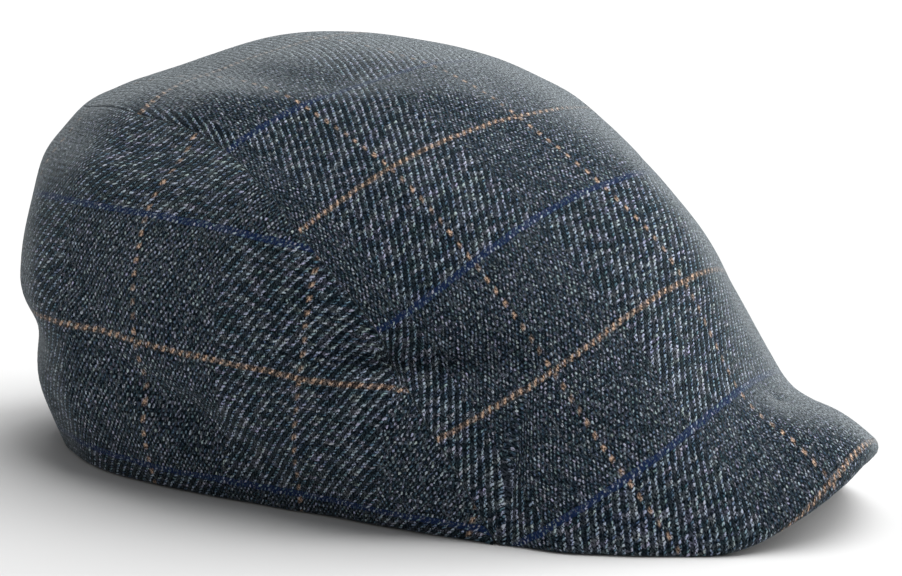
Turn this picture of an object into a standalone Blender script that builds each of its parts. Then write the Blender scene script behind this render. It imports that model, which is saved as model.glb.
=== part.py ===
"""Flat cap with a bill, sewn from a top panel, two side panels and a stiff peak.

Metres, +Z up. The cap lies on its hem at z = 0 with its bill towards -Y.
The wearer's right is -X. Every piece is cut from one smooth skin, which is
lofted through the sections in the tables below.
"""
from collections import namedtuple

import bmesh
import bpy
import numpy as np
from mathutils import Vector

# Driving sizes
CAP_LENGTH = 0.276         # from the fullest point of the back to the bill's front edge
CROWN_WIDTH = 0.183        # across the fullest part of the side panels
CROWN_HEIGHT = 0.132       # top of the crown above the hem
HEM_WIDTH = 0.150          # across the hem, outside the cloth
BILL_RISE = 0.0215         # bill's front edge above the hem
BELLY_HEIGHT = 0.050       # height at which the side panels stand out furthest
BELLY_OVERHANG = 0.0160    # how far they stand out beyond the hem there
FOLD_DEPTH = 0.0045        # depth of the deepest fold in the cloth

# Cloth, board and the space between the pieces
CLOTH_WALL = 0.0020
BOARD_WALL = 0.0024
SEAM_GAP = 0.0004
BOARD_CLEARANCE = 0.0008   # between the top panel's inside and the board of the peak
BOARD_INSET = 0.0014       # the board ends this far inside the bill's edge
SEAM_ALLOWANCE = 0.0008    # narrow strip along each seam
STRIP_SHARE = 0.35         # the strip takes at most this share of a low wall beside it
TRIM_DEPTH = 0.0012        # the skin runs on this far below the floor, and is cut there

# Fineness of the skin
STEPS_PER_SECTION = 3
STEPS_ACROSS_TOP = 12
STEPS_DOWN_SIDE = 9
STEPS_ACROSS_BOARD = 7
BACK_STRIP = 0.05          # share of a section that the strip along the centre-back seam takes
SLOPE_STEP = 0.02          # step, in sections, between the points that give the skin's slope
WELD_DISTANCE = 0.000001

# Sections of the crown, from the centre back to the corner of the bill.
# run: share of the length from the back; edge out: share of half the crown's width;
# seam out: share of half the cap's width at that height, see width_at();
# spine and edge rise: share of the way from the bill's rise to the crown's height;
# seam rise: share of the crown's height.
FULL_RISE = 0.40           # share of the crown's height where the seam is as wide as the crown
Crown = namedtuple("Crown", "spine_run spine_rise edge_out edge_rise seam_out seam_run seam_rise")
CROWN = [
    Crown(0.111, 0.84, 0.00, 0.81, 0.00, 0.059, 0.80),
    Crown(0.122, 0.85, 0.14, 0.81, 0.24, 0.070, 0.80),
    Crown(0.148, 0.87, 0.29, 0.82, 0.43, 0.107, 0.81),
    Crown(0.200, 0.92, 0.44, 0.84, 0.61, 0.200, 0.825),
    Crown(0.278, 0.98, 0.52, 0.865, 0.72, 0.285, 0.815),
    Crown(0.356, 1.00, 0.585, 0.875, 0.82, 0.363, 0.79),
    Crown(0.437, 0.99, 0.65, 0.83, 0.90, 0.437, 0.71),
    Crown(0.515, 0.96, 0.70, 0.76, 0.945, 0.511, 0.585),
    Crown(0.585, 0.90, 0.73, 0.65, 0.945, 0.583, 0.435),
    Crown(0.644, 0.825, 0.73, 0.53, 0.958, 0.630, 0.255),
    Crown(0.689, 0.755, 0.70, 0.415, 0.960, 0.669, 0.11),
    Crown(0.730, 0.675, 0.665, 0.32, 0.988, 0.707, 0.00),
]

# The side panels' wall below the same sections.
# hem out: share of half the hem's width; overhang: share of the belly's overhang;
# belly rise: share of the belly's height.
Wall = namedtuple("Wall", "hem_out hem_run overhang belly_rise")
WALL = [
    Wall(0.00, 0.052, 0.90, 0.94),
    Wall(0.38, 0.066, 0.92, 0.94),
    Wall(0.67, 0.117, 0.95, 0.94),
    Wall(0.89, 0.196, 0.97, 0.96),
    Wall(0.985, 0.293, 1.00, 0.98),
    Wall(1.00, 0.385, 1.00, 1.00),
    Wall(1.00, 0.467, 1.00, 0.94),
    Wall(1.00, 0.533, 1.00, 0.82),
    Wall(1.00, 0.593, 0.82, 0.66),
    Wall(1.00, 0.639, 0.30, 0.36),
    Wall(0.995, 0.674, 0.09, 0.16),
    Wall(0.99, 0.704, 0.00, 0.02),
]

# Sections of the bill, from its corner round to the middle of its front edge.
# rim out: share of half the hem's width; rim rise: share of the bill's rise;
# board: the share of the section, in from the rim, that lies on the board.
Bill = namedtuple("Bill", "spine_run spine_rise edge_out edge_rise rim_out rim_run rim_rise board")
BILL = [
    Bill(0.770, 0.575, 0.620, 0.205, 0.975, 0.763, 0.00, 0.15),
    Bill(0.804, 0.445, 0.570, 0.115, 0.890, 0.815, 0.00, 0.22),
    Bill(0.833, 0.305, 0.495, 0.045, 0.775, 0.870, 0.03, 0.32),
    Bill(0.854, 0.208, 0.405, 0.015, 0.615, 0.926, 0.19, 0.48),
    Bill(0.871, 0.150, 0.285, 0.030, 0.425, 0.967, 0.53, 0.66),
    Bill(0.886, 0.120, 0.150, 0.062, 0.220, 0.992, 0.83, 0.80),
    Bill(0.893, 0.110, 0.000, 0.074, 0.000, 1.000, 1.00, 0.86),
]
CORNER_BOARD = 0.10        # the board's share at the bill's corner

# Folds and dents in the cloth. side: -1 is the wearer's right; run and rise: middle,
# as shares of the length and the crown's height; long and tall: half sizes, as the same
# shares; lean: degrees that the fold climbs towards the bill; depth: share of FOLD_DEPTH.
# They fade out towards the middle of the cap.
Fold = namedtuple("Fold", "side run rise long tall lean depth")
FOLD_FREE = 0.18           # from this share of the crown's width off the middle, they are whole
FOLDS = [
    Fold(-1, 0.040, 0.28, 0.16, 0.080, 0, 1.00),
    Fold(1, 0.060, 0.31, 0.11, 0.085, 8, 0.60),
    Fold(-1, 0.605, 0.40, 0.105, 0.080, -35, 0.55),
    Fold(1, 0.610, 0.40, 0.110, 0.085, -32, 0.40),
    Fold(-1, 0.270, 0.58, 0.12, 0.110, 0, 0.45),
    Fold(1, 0.300, 0.56, 0.12, 0.110, 6, 0.40),
]

TOP_COLOUR = (0.045, 0.055, 0.068, 1.0)
SIDE_COLOUR = (0.038, 0.047, 0.060, 1.0)
UNDER_COLOUR = (0.014, 0.016, 0.020, 1.0)
CLOTH_ROUGHNESS = 0.95


def clear_scene():
    """Remove whatever the scene holds."""
    for old in list(bpy.data.objects):
        bpy.data.objects.remove(old, do_unlink=True)


def collection(name):
    """A new collection in the scene."""
    made = bpy.data.collections.new(name)
    bpy.context.scene.collection.children.link(made)
    return made


def cloth(name, colour):
    """A plain cloth finish."""
    made = bpy.data.materials.new(name)
    made.use_nodes = True
    shader = made.node_tree.nodes["Principled BSDF"]
    shader.inputs["Base Color"].default_value = colour
    shader.inputs["Roughness"].default_value = CLOTH_ROUGHNESS
    shader.inputs["Metallic"].default_value = 0.0
    return made


def smooth_through(knots, values, at):
    """Read a smooth curve, straight at its two ends, through values at uneven knots."""
    knots = np.asarray(knots, float)
    values = np.asarray(values, float)
    steps = np.diff(knots)[:, None]
    slopes = np.diff(values, axis=0) / steps
    tangents = np.vstack([slopes[:1], slopes])
    weighted = steps[1:] * slopes[:-1] + steps[:-1] * slopes[1:]
    tangents[1:-1] = weighted / (steps[1:] + steps[:-1])
    tangents[0] = 1.5 * slopes[0] - 0.5 * tangents[1]
    tangents[-1] = 1.5 * slopes[-1] - 0.5 * tangents[-2]
    span = np.clip(np.searchsorted(knots, at, side="right") - 1, 0, len(knots) - 2)
    share = ((at - knots[span]) / np.diff(knots)[span])[:, None]
    width = steps[span]
    start = (1 + 2 * share) * (1 - share) ** 2 * values[span]
    start_pull = share * (1 - share) ** 2 * width * tangents[span]
    end = share ** 2 * (3 - 2 * share) * values[span + 1]
    end_pull = share ** 2 * (share - 1) * width * tangents[span + 1]
    return start + start_pull + end + end_pull


def run_to_y(run):
    """Place along the cap, from the share of its length measured from the back."""
    return CAP_LENGTH * (0.5 - run)


def crest(rise):
    """Height of a point on the crown's top or the bill's, from its share."""
    return BILL_RISE + rise * (CROWN_HEIGHT - BILL_RISE)


def width_at(rise):
    """Width of the cap at a height: the hem's on the floor, the crown's from FULL_RISE up."""
    return HEM_WIDTH + (CROWN_WIDTH - HEM_WIDTH) * min(1.0, rise / FULL_RISE)


def hem_normal(index):
    """Outward direction of the hem in plan at one section."""
    before = WALL[max(index - 1, 0)]
    after = WALL[min(index + 1, len(WALL) - 1)]
    along_x = (after.hem_out - before.hem_out) * HEM_WIDTH / 2
    along_y = run_to_y(after.hem_run) - run_to_y(before.hem_run)
    if index == 0:
        along_y = 0.0
    normal = np.array([-along_y, along_x])
    return normal / np.linalg.norm(normal)


def section_points():
    """Control points of every section: spine, edge, seam, belly and hem."""
    rows = []
    for index, (crown, wall) in enumerate(zip(CROWN, WALL)):
        seam_x = crown.seam_out * width_at(crown.seam_rise) / 2
        seam = (seam_x, run_to_y(crown.seam_run), crown.seam_rise * CROWN_HEIGHT)
        hem = (wall.hem_out * HEM_WIDTH / 2, run_to_y(wall.hem_run), -TRIM_DEPTH)
        outward = hem_normal(index) * wall.overhang * BELLY_OVERHANG
        belly = (hem[0] + outward[0], hem[1] + outward[1], wall.belly_rise * BELLY_HEIGHT)
        rows.append(section_row(crown, seam, belly, hem))
    corner = rows[-1]
    corner[2][2] = -TRIM_DEPTH
    corner[3:] = corner[2]
    for bill in BILL:
        on_floor = bill.rim_rise * BILL_RISE - TRIM_DEPTH * (1 - bill.rim_rise)
        rim = (bill.rim_out * HEM_WIDTH / 2, run_to_y(bill.rim_run), on_floor)
        rows.append(section_row(bill, rim, rim, rim))
    return np.array(rows)


def section_row(row, seam, belly, hem):
    """The five control points of one section."""
    spine = (0.0, run_to_y(row.spine_run), crest(row.spine_rise))
    edge_y = (spine[1] + seam[1]) / 2
    edge = (row.edge_out * CROWN_WIDTH / 2, edge_y, crest(row.edge_rise))
    return np.array([spine, edge, seam, belly, hem])


SECTIONS = section_points()
CORNER = len(CROWN) - 1
TIP = len(SECTIONS) - 1
MIRROR = np.array([-1, 1, 1])


def controls_at(station):
    """Control points between sections; the station counts sections from the back."""
    before_back = SECTIONS[1:2] * MIRROR
    beyond_tip = SECTIONS[-2:-1] * MIRROR
    every = np.concatenate([before_back, SECTIONS, beyond_tip]).reshape(TIP + 3, -1)
    return smooth_through(np.arange(-1, TIP + 2), every, np.array([station])).reshape(5, 3)


def section_line(station):
    """Knots and points of the line from the far edge over the spine down to the hem."""
    spine, edge, seam, belly, hem = controls_at(station)
    spine[0] = 0.0
    points = [edge * MIRROR, spine, edge, seam]
    if station < CORNER:
        points += [belly, hem]
    points = np.array(points)
    lengths = np.linalg.norm(np.diff(points, axis=0), axis=1)
    return np.concatenate([[0.0], np.cumsum(lengths)]), points


def skin_point(station, down):
    """Point of the skin: down is 0 on the spine, 1 on the seam or rim and 2 on the hem."""
    knots, points = section_line(station)
    spine_at, seam_at = knots[1], knots[3]
    if down <= 1:
        at = spine_at + down * (seam_at - spine_at)
    else:
        at = seam_at + (down - 1) * (knots[-1] - seam_at)
    return smooth_through(knots, points, np.array([at]))[0]


def skin_normal(station, down):
    """Outward direction of the skin."""
    back, front = max(station - SLOPE_STEP, 0), min(station + SLOPE_STEP, TIP)
    above, below = max(down - SLOPE_STEP, 0), min(down + SLOPE_STEP, 2 if station < CORNER else 1)
    along = skin_point(front, down) - skin_point(back, down)
    across = skin_point(station, below) - skin_point(station, above)
    normal = np.cross(along, across)
    return normal / np.linalg.norm(normal)


def fold_depth(point, side):
    """How far the folds press the cloth in at a point."""
    depth = 0.0
    for fold in FOLDS:
        if fold.side != side:
            continue
        run = (run_to_y(fold.run) - point[1]) / CAP_LENGTH
        rise = point[2] / CROWN_HEIGHT - fold.rise
        lean = np.radians(fold.lean)
        along = run * np.cos(lean) + rise * np.sin(lean)
        up = rise * np.cos(lean) - run * np.sin(lean)
        depth += fold.depth * FOLD_DEPTH * np.exp(-(along / fold.long) ** 2 - (up / fold.tall) ** 2)
    off_middle = min(1.0, point[0] / (FOLD_FREE * CROWN_WIDTH))
    return depth * off_middle ** 2 * (3 - 2 * off_middle)


def cloth_point(station, down, side, inward=0.0):
    """Point of the finished cloth on one side of the cap, moved inward by a distance."""
    point = skin_point(station, down)
    normal = skin_normal(station, down)
    point = point - normal * (fold_depth(point, side) + inward)
    return point * (side, 1, 1)


def off_seam(station, direction):
    """Change of down that leads one metre squarely off the seam, up (-1) or down (1) the skin."""
    on_seam = skin_point(station, 1)
    back, front = max(station - SLOPE_STEP, 0), min(station + SLOPE_STEP, TIP)
    along = skin_point(front, 1) - skin_point(back, 1)
    along /= np.linalg.norm(along)
    away = skin_point(station, 1 + direction * SLOPE_STEP) - on_seam
    square = away - along * np.dot(away, along)
    return direction * SLOPE_STEP / np.linalg.norm(square)


def grid_object(name, grids, finish, thickness, where):
    """A cloth or board wall from grids of points on its outer side."""
    mesh = bmesh.new()
    for points in grids:
        rows, columns = len(points), len(points[0])
        made = bmesh.ops.create_grid(mesh, x_segments=columns - 1, y_segments=rows - 1, size=1.0)
        for vertex, place in zip(made["verts"], (place for row in points for place in row)):
            vertex.co = place
    bmesh.ops.remove_doubles(mesh, verts=mesh.verts, dist=WELD_DISTANCE)
    bmesh.ops.recalc_face_normals(mesh, faces=mesh.faces)
    turn_outward(mesh)
    data = bpy.data.meshes.new(name)
    mesh.to_mesh(data)
    mesh.free()
    data.shade_smooth()
    data.materials.append(finish)
    made = bpy.data.objects.new(name, data)
    where.objects.link(made)
    wall = made.modifiers.new("wall", "SOLIDIFY")
    wall.thickness = thickness
    wall.offset = -1.0
    wall.use_even_offset = True
    return made


def turn_outward(mesh):
    """Flip the faces if they look at the inside of the cap."""
    middle = Vector((0.0, 0.0, BELLY_HEIGHT))
    outward = 0.0
    for face in mesh.faces:
        outward += face.calc_area() * face.normal.dot(face.calc_center_median() - middle)
    if outward < 0:
        bmesh.ops.reverse_faces(mesh, faces=mesh.faces)


def trim_at_floor(piece, cutter):
    """Cut the piece off flat at the hem."""
    cut = piece.modifiers.new("flat_hem", "BOOLEAN")
    cut.operation = "DIFFERENCE"
    cut.solver = "EXACT"
    cut.object = cutter
    return piece


def floor_cutter(where):
    """A block under the floor that trims the hem flat."""
    bpy.ops.mesh.primitive_cube_add(size=1.0)
    block = bpy.context.object
    block.name = "floor_block"
    block.dimensions = (2 * CROWN_WIDTH, 2 * CAP_LENGTH, BELLY_HEIGHT)
    block.location = (0, 0, -BELLY_HEIGHT / 2)
    bpy.ops.object.transform_apply(location=True, rotation=False, scale=True)
    for owner in list(block.users_collection):
        owner.objects.unlink(block)
    where.objects.link(block)
    block.hide_render = True
    block.display_type = "WIRE"
    return block


def top_panel(finish, where, cutter):
    """The panel from the back of the crown to the bill's front edge."""
    stations = np.linspace(0, TIP, TIP * STEPS_PER_SECTION + 1)
    grids = []
    for side in (-1, 1):
        rows = []
        for station in stations:
            inward = off_seam(station, -1)
            edge = 1 + inward * SEAM_GAP / 2
            strip = edge + inward * SEAM_ALLOWANCE
            places = list(np.linspace(0, strip, STEPS_ACROSS_TOP)) + [edge]
            rows.append([cloth_point(station, down, side) for down in places])
        for row in (rows[0], rows[-1]):
            for place in row:
                place[0] = 0.0
        grids.append(rows)
    made = grid_object("top_panel", grids, finish, CLOTH_WALL, where)
    return trim_at_floor(made, cutter)


def side_panel(name, side, finish, where, cutter):
    """The wall from the centre-back seam round to the corner of the bill."""
    stations = np.arange(CORNER * STEPS_PER_SECTION) / STEPS_PER_SECTION
    stations = np.insert(stations, 1, BACK_STRIP)
    rows = []
    for station in stations:
        downward = off_seam(station, 1)
        top = 1 + downward * SEAM_GAP / 2
        strip = top + min(downward * SEAM_ALLOWANCE, STRIP_SHARE * (2 - top))
        places = [top] + list(np.linspace(strip, 2, STEPS_DOWN_SIDE))
        rows.append([cloth_point(station, down, side) for down in places])
    for place in rows[0]:
        place[0] = side * SEAM_GAP / 2
    made = grid_object(name, [rows], finish, CLOTH_WALL, where)
    return trim_at_floor(made, cutter)


def board_share(station):
    """How much of a section, in from the rim, lies on the board."""
    shares = [CORNER_BOARD] + [bill.board for bill in BILL]
    knots = np.arange(CORNER, TIP + 1)
    return float(np.interp(station, knots, shares))


def peak(finish, where, cutter):
    """The stiff board under the bill, parallel to the cloth above it."""
    half = np.arange(CORNER * STEPS_PER_SECTION + 1, TIP * STEPS_PER_SECTION + 1) / STEPS_PER_SECTION
    grids = []
    for side in (-1, 1):
        rows = []
        for station in half:
            rim = 1 + off_seam(station, -1) * BOARD_INSET
            inner = 1 - board_share(station)
            places = np.linspace(rim, inner, STEPS_ACROSS_BOARD + 1)
            rows.append([cloth_point(station, down, side, CLOTH_WALL + BOARD_CLEARANCE) for down in places])
        for place in rows[-1]:
            place[0] = 0.0
        grids.append(rows)
    made = grid_object("peak", grids, finish, BOARD_WALL, where)
    return trim_at_floor(made, cutter)


def build():
    """Make the cap."""
    clear_scene()
    cap = collection("flat_cap")
    cutters = collection("cutters")
    cutter = floor_cutter(cutters)
    top_panel(cloth("top_cloth", TOP_COLOUR), cap, cutter)
    side_cloth = cloth("side_cloth", SIDE_COLOUR)
    side_panel("side_panel_right", -1, side_cloth, cap, cutter)
    side_panel("side_panel_left", 1, side_cloth, cap, cutter)
    peak(cloth("under_cloth", UNDER_COLOUR), cap, cutter)


build()
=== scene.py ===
"""Looks of the flat cap: tweed panels with an overcheck, the dark underside of the bill,
a pale floor, soft studio light and the camera.

Metres, +Z up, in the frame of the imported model: the cap lies on its hem at z = 0 with its
bill towards -Y, and the wearer's right is -X.
"""
from collections import namedtuple

import bmesh
import bpy
import numpy as np
from mathutils import Matrix, Vector, noise


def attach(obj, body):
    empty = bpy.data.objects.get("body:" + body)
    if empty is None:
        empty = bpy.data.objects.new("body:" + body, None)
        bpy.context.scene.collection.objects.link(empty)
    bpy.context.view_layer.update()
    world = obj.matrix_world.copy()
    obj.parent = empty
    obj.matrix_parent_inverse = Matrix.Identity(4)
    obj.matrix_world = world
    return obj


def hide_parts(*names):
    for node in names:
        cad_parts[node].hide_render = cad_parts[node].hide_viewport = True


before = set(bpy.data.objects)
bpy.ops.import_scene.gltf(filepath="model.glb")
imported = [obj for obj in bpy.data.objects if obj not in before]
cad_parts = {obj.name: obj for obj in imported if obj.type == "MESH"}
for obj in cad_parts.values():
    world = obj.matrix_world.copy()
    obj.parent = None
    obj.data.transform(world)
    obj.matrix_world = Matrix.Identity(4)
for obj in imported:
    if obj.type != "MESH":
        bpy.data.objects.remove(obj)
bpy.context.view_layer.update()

# Driving sizes, as in the part's source
CAP_LENGTH = 0.276
CROWN_WIDTH = 0.183
CROWN_HEIGHT = 0.132
HEM_WIDTH = 0.150
BILL_RISE = 0.0215
BELLY_HEIGHT = 0.050
BELLY_OVERHANG = 0.0160
FOLD_DEPTH = 0.0045
CLOTH_WALL = 0.0020
BOARD_WALL = 0.0024
BOARD_CLEARANCE = 0.0008
TRIM_DEPTH = 0.0012
FULL_RISE = 0.40

# Sections of the crown, of the wall below it and of the bill, as in the part's source
Crown = namedtuple("Crown", "spine_run spine_rise edge_out edge_rise seam_out seam_run seam_rise")
CROWN = [
    Crown(0.111, 0.84, 0.00, 0.81, 0.00, 0.059, 0.80),
    Crown(0.122, 0.85, 0.14, 0.81, 0.24, 0.070, 0.80),
    Crown(0.148, 0.87, 0.29, 0.82, 0.43, 0.107, 0.81),
    Crown(0.200, 0.92, 0.44, 0.84, 0.61, 0.200, 0.825),
    Crown(0.278, 0.98, 0.52, 0.865, 0.72, 0.285, 0.815),
    Crown(0.356, 1.00, 0.585, 0.875, 0.82, 0.363, 0.79),
    Crown(0.437, 0.99, 0.65, 0.83, 0.90, 0.437, 0.71),
    Crown(0.515, 0.96, 0.70, 0.76, 0.945, 0.511, 0.585),
    Crown(0.585, 0.90, 0.73, 0.65, 0.945, 0.583, 0.435),
    Crown(0.644, 0.825, 0.73, 0.53, 0.958, 0.630, 0.255),
    Crown(0.689, 0.755, 0.70, 0.415, 0.960, 0.669, 0.11),
    Crown(0.730, 0.675, 0.665, 0.32, 0.988, 0.707, 0.00),
]
Wall = namedtuple("Wall", "hem_out hem_run overhang belly_rise")
WALL = [
    Wall(0.00, 0.052, 0.90, 0.94),
    Wall(0.38, 0.066, 0.92, 0.94),
    Wall(0.67, 0.117, 0.95, 0.94),
    Wall(0.89, 0.196, 0.97, 0.96),
    Wall(0.985, 0.293, 1.00, 0.98),
    Wall(1.00, 0.385, 1.00, 1.00),
    Wall(1.00, 0.467, 1.00, 0.94),
    Wall(1.00, 0.533, 1.00, 0.82),
    Wall(1.00, 0.593, 0.82, 0.66),
    Wall(1.00, 0.639, 0.30, 0.36),
    Wall(0.995, 0.674, 0.09, 0.16),
    Wall(0.99, 0.704, 0.00, 0.02),
]
Bill = namedtuple("Bill", "spine_run spine_rise edge_out edge_rise rim_out rim_run rim_rise board")
BILL = [
    Bill(0.770, 0.575, 0.620, 0.205, 0.975, 0.763, 0.00, 0.15),
    Bill(0.804, 0.445, 0.570, 0.115, 0.890, 0.815, 0.00, 0.22),
    Bill(0.833, 0.305, 0.495, 0.045, 0.775, 0.870, 0.03, 0.32),
    Bill(0.854, 0.208, 0.405, 0.015, 0.615, 0.926, 0.19, 0.48),
    Bill(0.871, 0.150, 0.285, 0.030, 0.425, 0.967, 0.53, 0.66),
    Bill(0.886, 0.120, 0.150, 0.062, 0.220, 0.992, 0.83, 0.80),
    Bill(0.893, 0.110, 0.000, 0.074, 0.000, 1.000, 1.00, 0.86),
]
CORNER_BOARD = 0.10

# Folds and dents, as in the part's source. side is -1 on the wearer's right and 1 on the left; run,
# rise, long and tall are shares of the cap's length and height; lean is in degrees; depth is a
# share of FOLD_DEPTH.
Fold = namedtuple("Fold", "side run rise long tall lean depth")
FOLD_FREE = 0.18
FOLDS = [
    Fold(-1, 0.040, 0.28, 0.16, 0.080, 0, 1.00),
    Fold(1, 0.060, 0.31, 0.11, 0.085, 8, 0.60),
    Fold(-1, 0.605, 0.40, 0.105, 0.080, -35, 0.55),
    Fold(1, 0.610, 0.40, 0.110, 0.085, -32, 0.40),
    Fold(-1, 0.270, 0.58, 0.12, 0.110, 0, 0.45),
    Fold(1, 0.300, 0.56, 0.12, 0.110, 6, 0.40),
]

# Small creases and waves of the cloth, which the part's source leaves out. A depth below 0 is a bulge.
CREASES = [
    Fold(-1, 0.612, 0.386, 0.075, 0.034, 2, 1.50),
    Fold(-1, 0.350, 0.200, 0.140, 0.042, -50, 1.05),
    Fold(-1, 0.215, 0.430, 0.110, 0.050, -62, 0.80),
    Fold(-1, 0.290, 0.870, 0.200, 0.035, 2, -0.40),
    Fold(-1, 0.250, 0.765, 0.200, 0.050, 2, 0.50),
    Fold(1, 0.300, 0.870, 0.200, 0.035, 2, -0.30),
    Fold(1, 0.260, 0.765, 0.200, 0.050, 2, 0.40),
    Fold(-1, 0.745, 0.215, 0.060, 0.040, 35, 0.22),
    Fold(1, 0.630, 0.375, 0.055, 0.030, 6, 0.34),
    Fold(1, 0.350, 0.220, 0.110, 0.040, -46, 0.34),
    Fold(1, 0.230, 0.450, 0.100, 0.045, -58, 0.34),
]
WAVE_LENGTH = 0.020        # of the slow waves that lie all over the cloth
WAVE_DEPTH = 0.0009

# Small shifts of the cloth, which the part's source leaves out: the curl of the bill's tip, more
# on its left, and the sharp corner at the back of the crown. run and rise are shares, and the
# others metres: reach is how far a shift fades out along and up the cap, and half across it.
Shift = namedtuple("Shift", "out run rise back up reach half")
SHIFTS = [
    Shift(0.026, 0.985, 0.150, 0.0000, 0.0037, 0.028, 0.026),
    Shift(0.000, 0.062, 0.800, 0.0018, 0.0012, 0.013, 0.022),
]

# Rolled edges of the cloth
SEAM_ROLL = 0.00028        # radius of the cloth where it turns into a seam
SEAM_SPACE = 0.00003       # between the two rolled edges of a seam
RIM_ROLL = 0.0034          # radius of the bill's edge
HEM_ROLL = 0.0010          # radius of the hem's
SEAM_TURN = 90             # degrees that the cloth turns into a seam
RIM_TURN = 150             # and round the bill's edge
ROLL_SHARE = 0.3           # a roll takes at most this share of a low wall
ROLL_STEPS = 6

# Fineness of the skin
STEPS_PER_SECTION = 10
STEPS_ACROSS_TOP = 56
STEPS_DOWN_SIDE = 48
STEPS_ACROSS_BOARD = 14
STEPS_TO_FLOOR = 60
SLOPE_STEP = 0.02          # of a station or a down, to feel the skin's slopes
WELD_DISTANCE = 0.000005

# Where the pieces end. A station counts the sections from the back, and a down is 0 on the spine,
# 1 on the seam or the bill's rim, and 2 on the hem.
SIDE_END = 10 + 2 / 3      # station where the side panels end
BOARD_START = 1 / 3        # stations from the bill's corner to the start of its board
SEAM_ROLL_END = 0.5        # stations before the corner, where the seam's roll starts to grow
RIM_ROLL_START = 0.7       # stations past the corner, where it has grown to the bill's
RIM_SEARCH = (0.7, 1.0)    # downs between which the top panel may reach the floor
HEM_SEARCH = (1.5, 2.0)    # and a side panel

# How the panels are laid flat. Rows of a panel's grid lead from the back to the front, and columns
# from the top panel's left edge to its right, or from a side panel's seam to its hem.
PATTERN_STEP = 3           # the cloth is laid flat on every third row and column
PLATE_UNIT = 0.1           # metres for one unit of length in the stripes' bending
TINY = 1e-9
TOP_FORWARD = (20, 150)    # rows on the spine: the line between them runs along the warp
TOP_ZERO = 90              # row where the spine is at 0, 0
TOP_ACROSS = (-10, 10)     # columns of that row, from the right to the left
SIDE_FORWARD = (10, -10)   # columns of the zero's row: the line between them runs along the warp
SIDE_ZERO = (60, 30)       # row and column of 0, 0
SIDE_ACROSS = ((20, 20), (90, 20))      # rows and columns of two points, from the back to the front

# The weave is a 2/2 twill. The warp leads along the top panel and down the side panels. The squares,
# ribbed and speckled by turns, are ENDS warp yarns wide and 2 * PICKS weft yarns long. An orange
# stripe runs along the middle of a square each way, and a blue weft stripe where two squares meet.
ENDS = 80                  # warp yarns from stripe to stripe
PICKS = 36                 # weft yarns from a blue stripe to an orange one
BLUE_YARNS = 2             # yarns of a blue stripe
TWILL = 4.0                # yarns after which the twill repeats
WEFT_SHIFT = 1.5           # yarns that the weft's floats are shifted by in the repeat
WARP_SHIFT = 3.5           # and the warp's
HALF_YARN = 0.5            # from a yarn's edge to its middle

# Where the stripes lie on the flat panels. across and along: millimetres on the flat panel;
# stripe: number of the stripe that passes there. Even weft stripes are blue.
Mark = namedtuple("Mark", "across along stripe")
TOP_WEFT = [
    Mark(-60, 135, 1), Mark(-22, 131, 1), Mark(7, 130, 1), Mark(45, 133, 1),
    Mark(-100, 93, 0), Mark(-62, 95, 0), Mark(-22, 94.5, 0), Mark(20, 94, 0), Mark(70, 95, 0),
    Mark(-100, 56.5, -1), Mark(-62, 59, -1), Mark(-20, 59, -1), Mark(20, 60, -1), Mark(80, 58, -1),
    Mark(-101, 18.7, -2), Mark(-71, 21, -2), Mark(-33, 23.2, -2), Mark(0, 27, -2), Mark(60, 22, -2),
    Mark(-91, -21.8, -3), Mark(-60, -14.8, -3), Mark(-27, -7, -3), Mark(0, -2, -3), Mark(60, -14, -3),
    Mark(-67, -55, -4), Mark(-48, -46.4, -4), Mark(-29, -39, -4), Mark(0, -31, -4), Mark(60, -52, -4),
    Mark(-58, -110, -5), Mark(-46, -100, -5), Mark(-24, -81, -5), Mark(0, -70, -5), Mark(50, -95, -5),
]
TOP_WARP = [
    Mark(-69, 118, -1), Mark(-70, 82, -1), Mark(-70, 44, -1), Mark(-70, 11, -1), Mark(-67, -17, -1),
    Mark(-63, -44, -1), Mark(-58, -62, -1), Mark(-42, -105, -1),
    Mark(-20, 120, 0), Mark(-14, 92, 0), Mark(-13, 66, 0), Mark(-18, 35, 0), Mark(-21.5, 11, 0),
    Mark(-21, -30, 0), Mark(-14, -80, 0),
    Mark(35, 110, 1), Mark(41, 60, 1), Mark(35, 10, 1), Mark(30, -40, 1),
]
SIDE_WEFT = [
    Mark(-98, -48.7, -2), Mark(-66, -44, -2), Mark(-23, -38.5, -2), Mark(9.6, -32.6, -2),
    Mark(45, -28, -2),
    Mark(-94, -12.4, -1), Mark(-51, -6.6, -1), Mark(-7, 1.7, -1), Mark(34, 5.5, -1), Mark(70, 9, -1),
    Mark(-92, 28.4, 0), Mark(-54, 36.4, 0), Mark(3, 43.5, 0), Mark(42, 45, 0), Mark(85, 46, 0),
]
SIDE_WARP = [
    Mark(-36, -57, -1), Mark(-44.5, -40, -1), Mark(-44.5, -7, -1), Mark(-47, 10, -1), Mark(-54, 30, -1),
    Mark(13.4, -26.3, 0), Mark(9, 3.5, 0), Mark(1, 28, 0), Mark(-1, 43, 0),
    Mark(67, 0, 1), Mark(57, 35, 1), Mark(-113, -20, -2), Mark(-119, 20, -2),
]
MARK_UNIT = 0.001          # metres for one unit of a mark
MARK_EASE = 0.02           # how much the yarns may pass beside a mark, rather than bend sharply

# Colours of the yarns
DARK_YARN = (0.001, 0.003, 0.005, 1.0)
DARK_YARN_TWO = (0.005, 0.009, 0.015, 1.0)
PALE_YARN = (0.17, 0.27, 0.39, 1.0)
PALE_YARN_TWO = (0.49, 0.59, 0.70, 1.0)
BLUE_YARN = (0.012, 0.028, 0.098, 1.0)
ORANGE_YARN = (0.82, 0.59, 0.44, 1.0)
ORANGE_DEEP = (0.42, 0.25, 0.15, 1.0)
# colour of the painted sheen, a pale haze painted where the cloth is seen at grazing angles
PAINTED_SHEEN_COLOUR = (0.225, 0.248, 0.262)

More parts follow.
